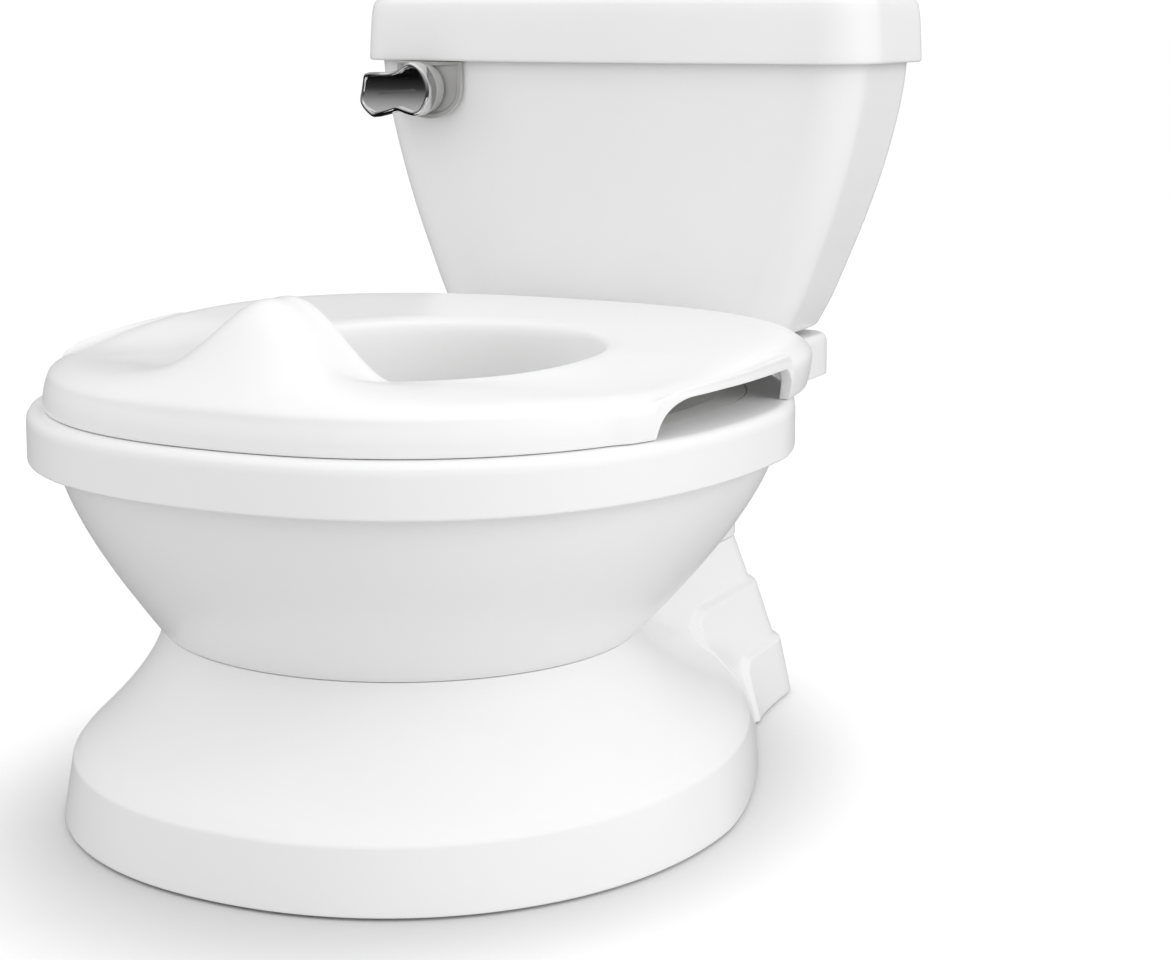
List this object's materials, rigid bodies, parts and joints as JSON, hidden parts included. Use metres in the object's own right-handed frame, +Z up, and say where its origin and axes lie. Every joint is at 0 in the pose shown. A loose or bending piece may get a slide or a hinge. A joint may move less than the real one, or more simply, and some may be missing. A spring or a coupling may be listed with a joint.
{
  "type": "potty training chair",
  "caption": "Toddler potty chair shaped like a small toilet: egg-shaped seat with splash guard, removable pot, flared pedestal, and a rear tank with hinged lid and flush handle",
  "frame": {"origin": "middle of the footprint, on the floor: half way between the bowl front and the tank rear, under the foot pads", "axes": "+Z up, -Y towards the front of the bowl, +Y towards the tank, +X to the right of someone facing the front"},
  "size_m": [0.282, 0.3965, 0.306],
  "materials": {
    "white_plastic": "satin",
    "pot_plastic": "satin",
    "chrome": "polished",
    "satin_trim": "satin silver",
    "foot_rubber": "matte",
    "screw_steel": "satin",
    "grey_plastic": "matte",
    "black_plastic": "matte",
    "circuit_board": "satin",
    "battery_wrap": "satin"
  },
  "bodies": {
    "chair": {"pedestal_shell": "white_plastic", "foot_pad_side_left": "foot_rubber", "foot_pad_side_right": "foot_rubber", "foot_pad_front_left": "foot_rubber", "foot_pad_front_right": "foot_rubber", "foot_pad_rear_left": "foot_rubber", "foot_pad_rear_right": "foot_rubber", "base_screw_1": "screw_steel", "base_screw_2": "screw_steel", "base_screw_3": "screw_steel", "base_screw_4": "screw_steel", "bowl_shell": "white_plastic", "tank_shell": "white_plastic", "tank_bolt_left": "white_plastic", "tank_bolt_right": "white_plastic", "tank_nut_left": "grey_plastic", "tank_nut_right": "grey_plastic", "handle_escutcheon": "satin_trim", "lever_return_spring": "screw_steel", "sound_unit_case": "grey_plastic", "sound_unit_cover": "grey_plastic", "battery_door": "grey_plastic", "battery_door_screw": "screw_steel", "battery_front": "battery_wrap", "battery_rear": "battery_wrap", "battery_contact_front": "screw_steel", "battery_contact_rear": "screw_steel", "circuit_board": "circuit_board", "speaker": "black_plastic", "switch_body": "black_plastic"},
    "seat": {"potty_seat": "white_plastic"},
    "pot": {"inner_pot": "pot_plastic"},
    "lid": {"tank_lid": "white_plastic", "hinge_pin_left": "screw_steel", "hinge_pin_right": "screw_steel"},
    "handle": {"flush_lever": "chrome", "handle_spindle": "grey_plastic", "spindle_clip": "screw_steel"},
    "switch_plunger": {"switch_button": "grey_plastic"}
  },
  "joints": [
    {"name": "seat_lift", "type": "slide", "parent": "chair", "child": "seat", "axis": [0, 0, 1], "range_m": [0, 0.06]},
    {"name": "pot_lift", "type": "slide", "parent": "chair", "child": "pot", "axis": [0, 0, 1], "range_m": [0, 0.03]},
    {"name": "lid_hinge", "type": "hinge", "parent": "chair", "child": "lid", "pos_m": [0, 0.1957, 0.2746], "axis": [-1, 0, 0], "range_deg": [0, 100]},
    {"name": "flush_handle_turn", "type": "hinge", "parent": "chair", "child": "handle", "pos_m": [-0.084, 0.0917, 0.265], "axis": [0, -1, 0], "range_deg": [0, 18], "stiffness_Nm_per_rad": 0.06, "springref_deg": -11.46},
    {"name": "switch_press", "type": "slide", "parent": "chair", "child": "switch_plunger", "axis": [1, 0, 0], "range_m": [0, 0.003]}
  ],
  "couplings": [
    {"joint": "pot_lift", "follows": "seat_lift", "ratio": 0.5},
    {"joint": "switch_press", "follows": "flush_handle_turn", "m_per_rad": 0.009}
  ]
}
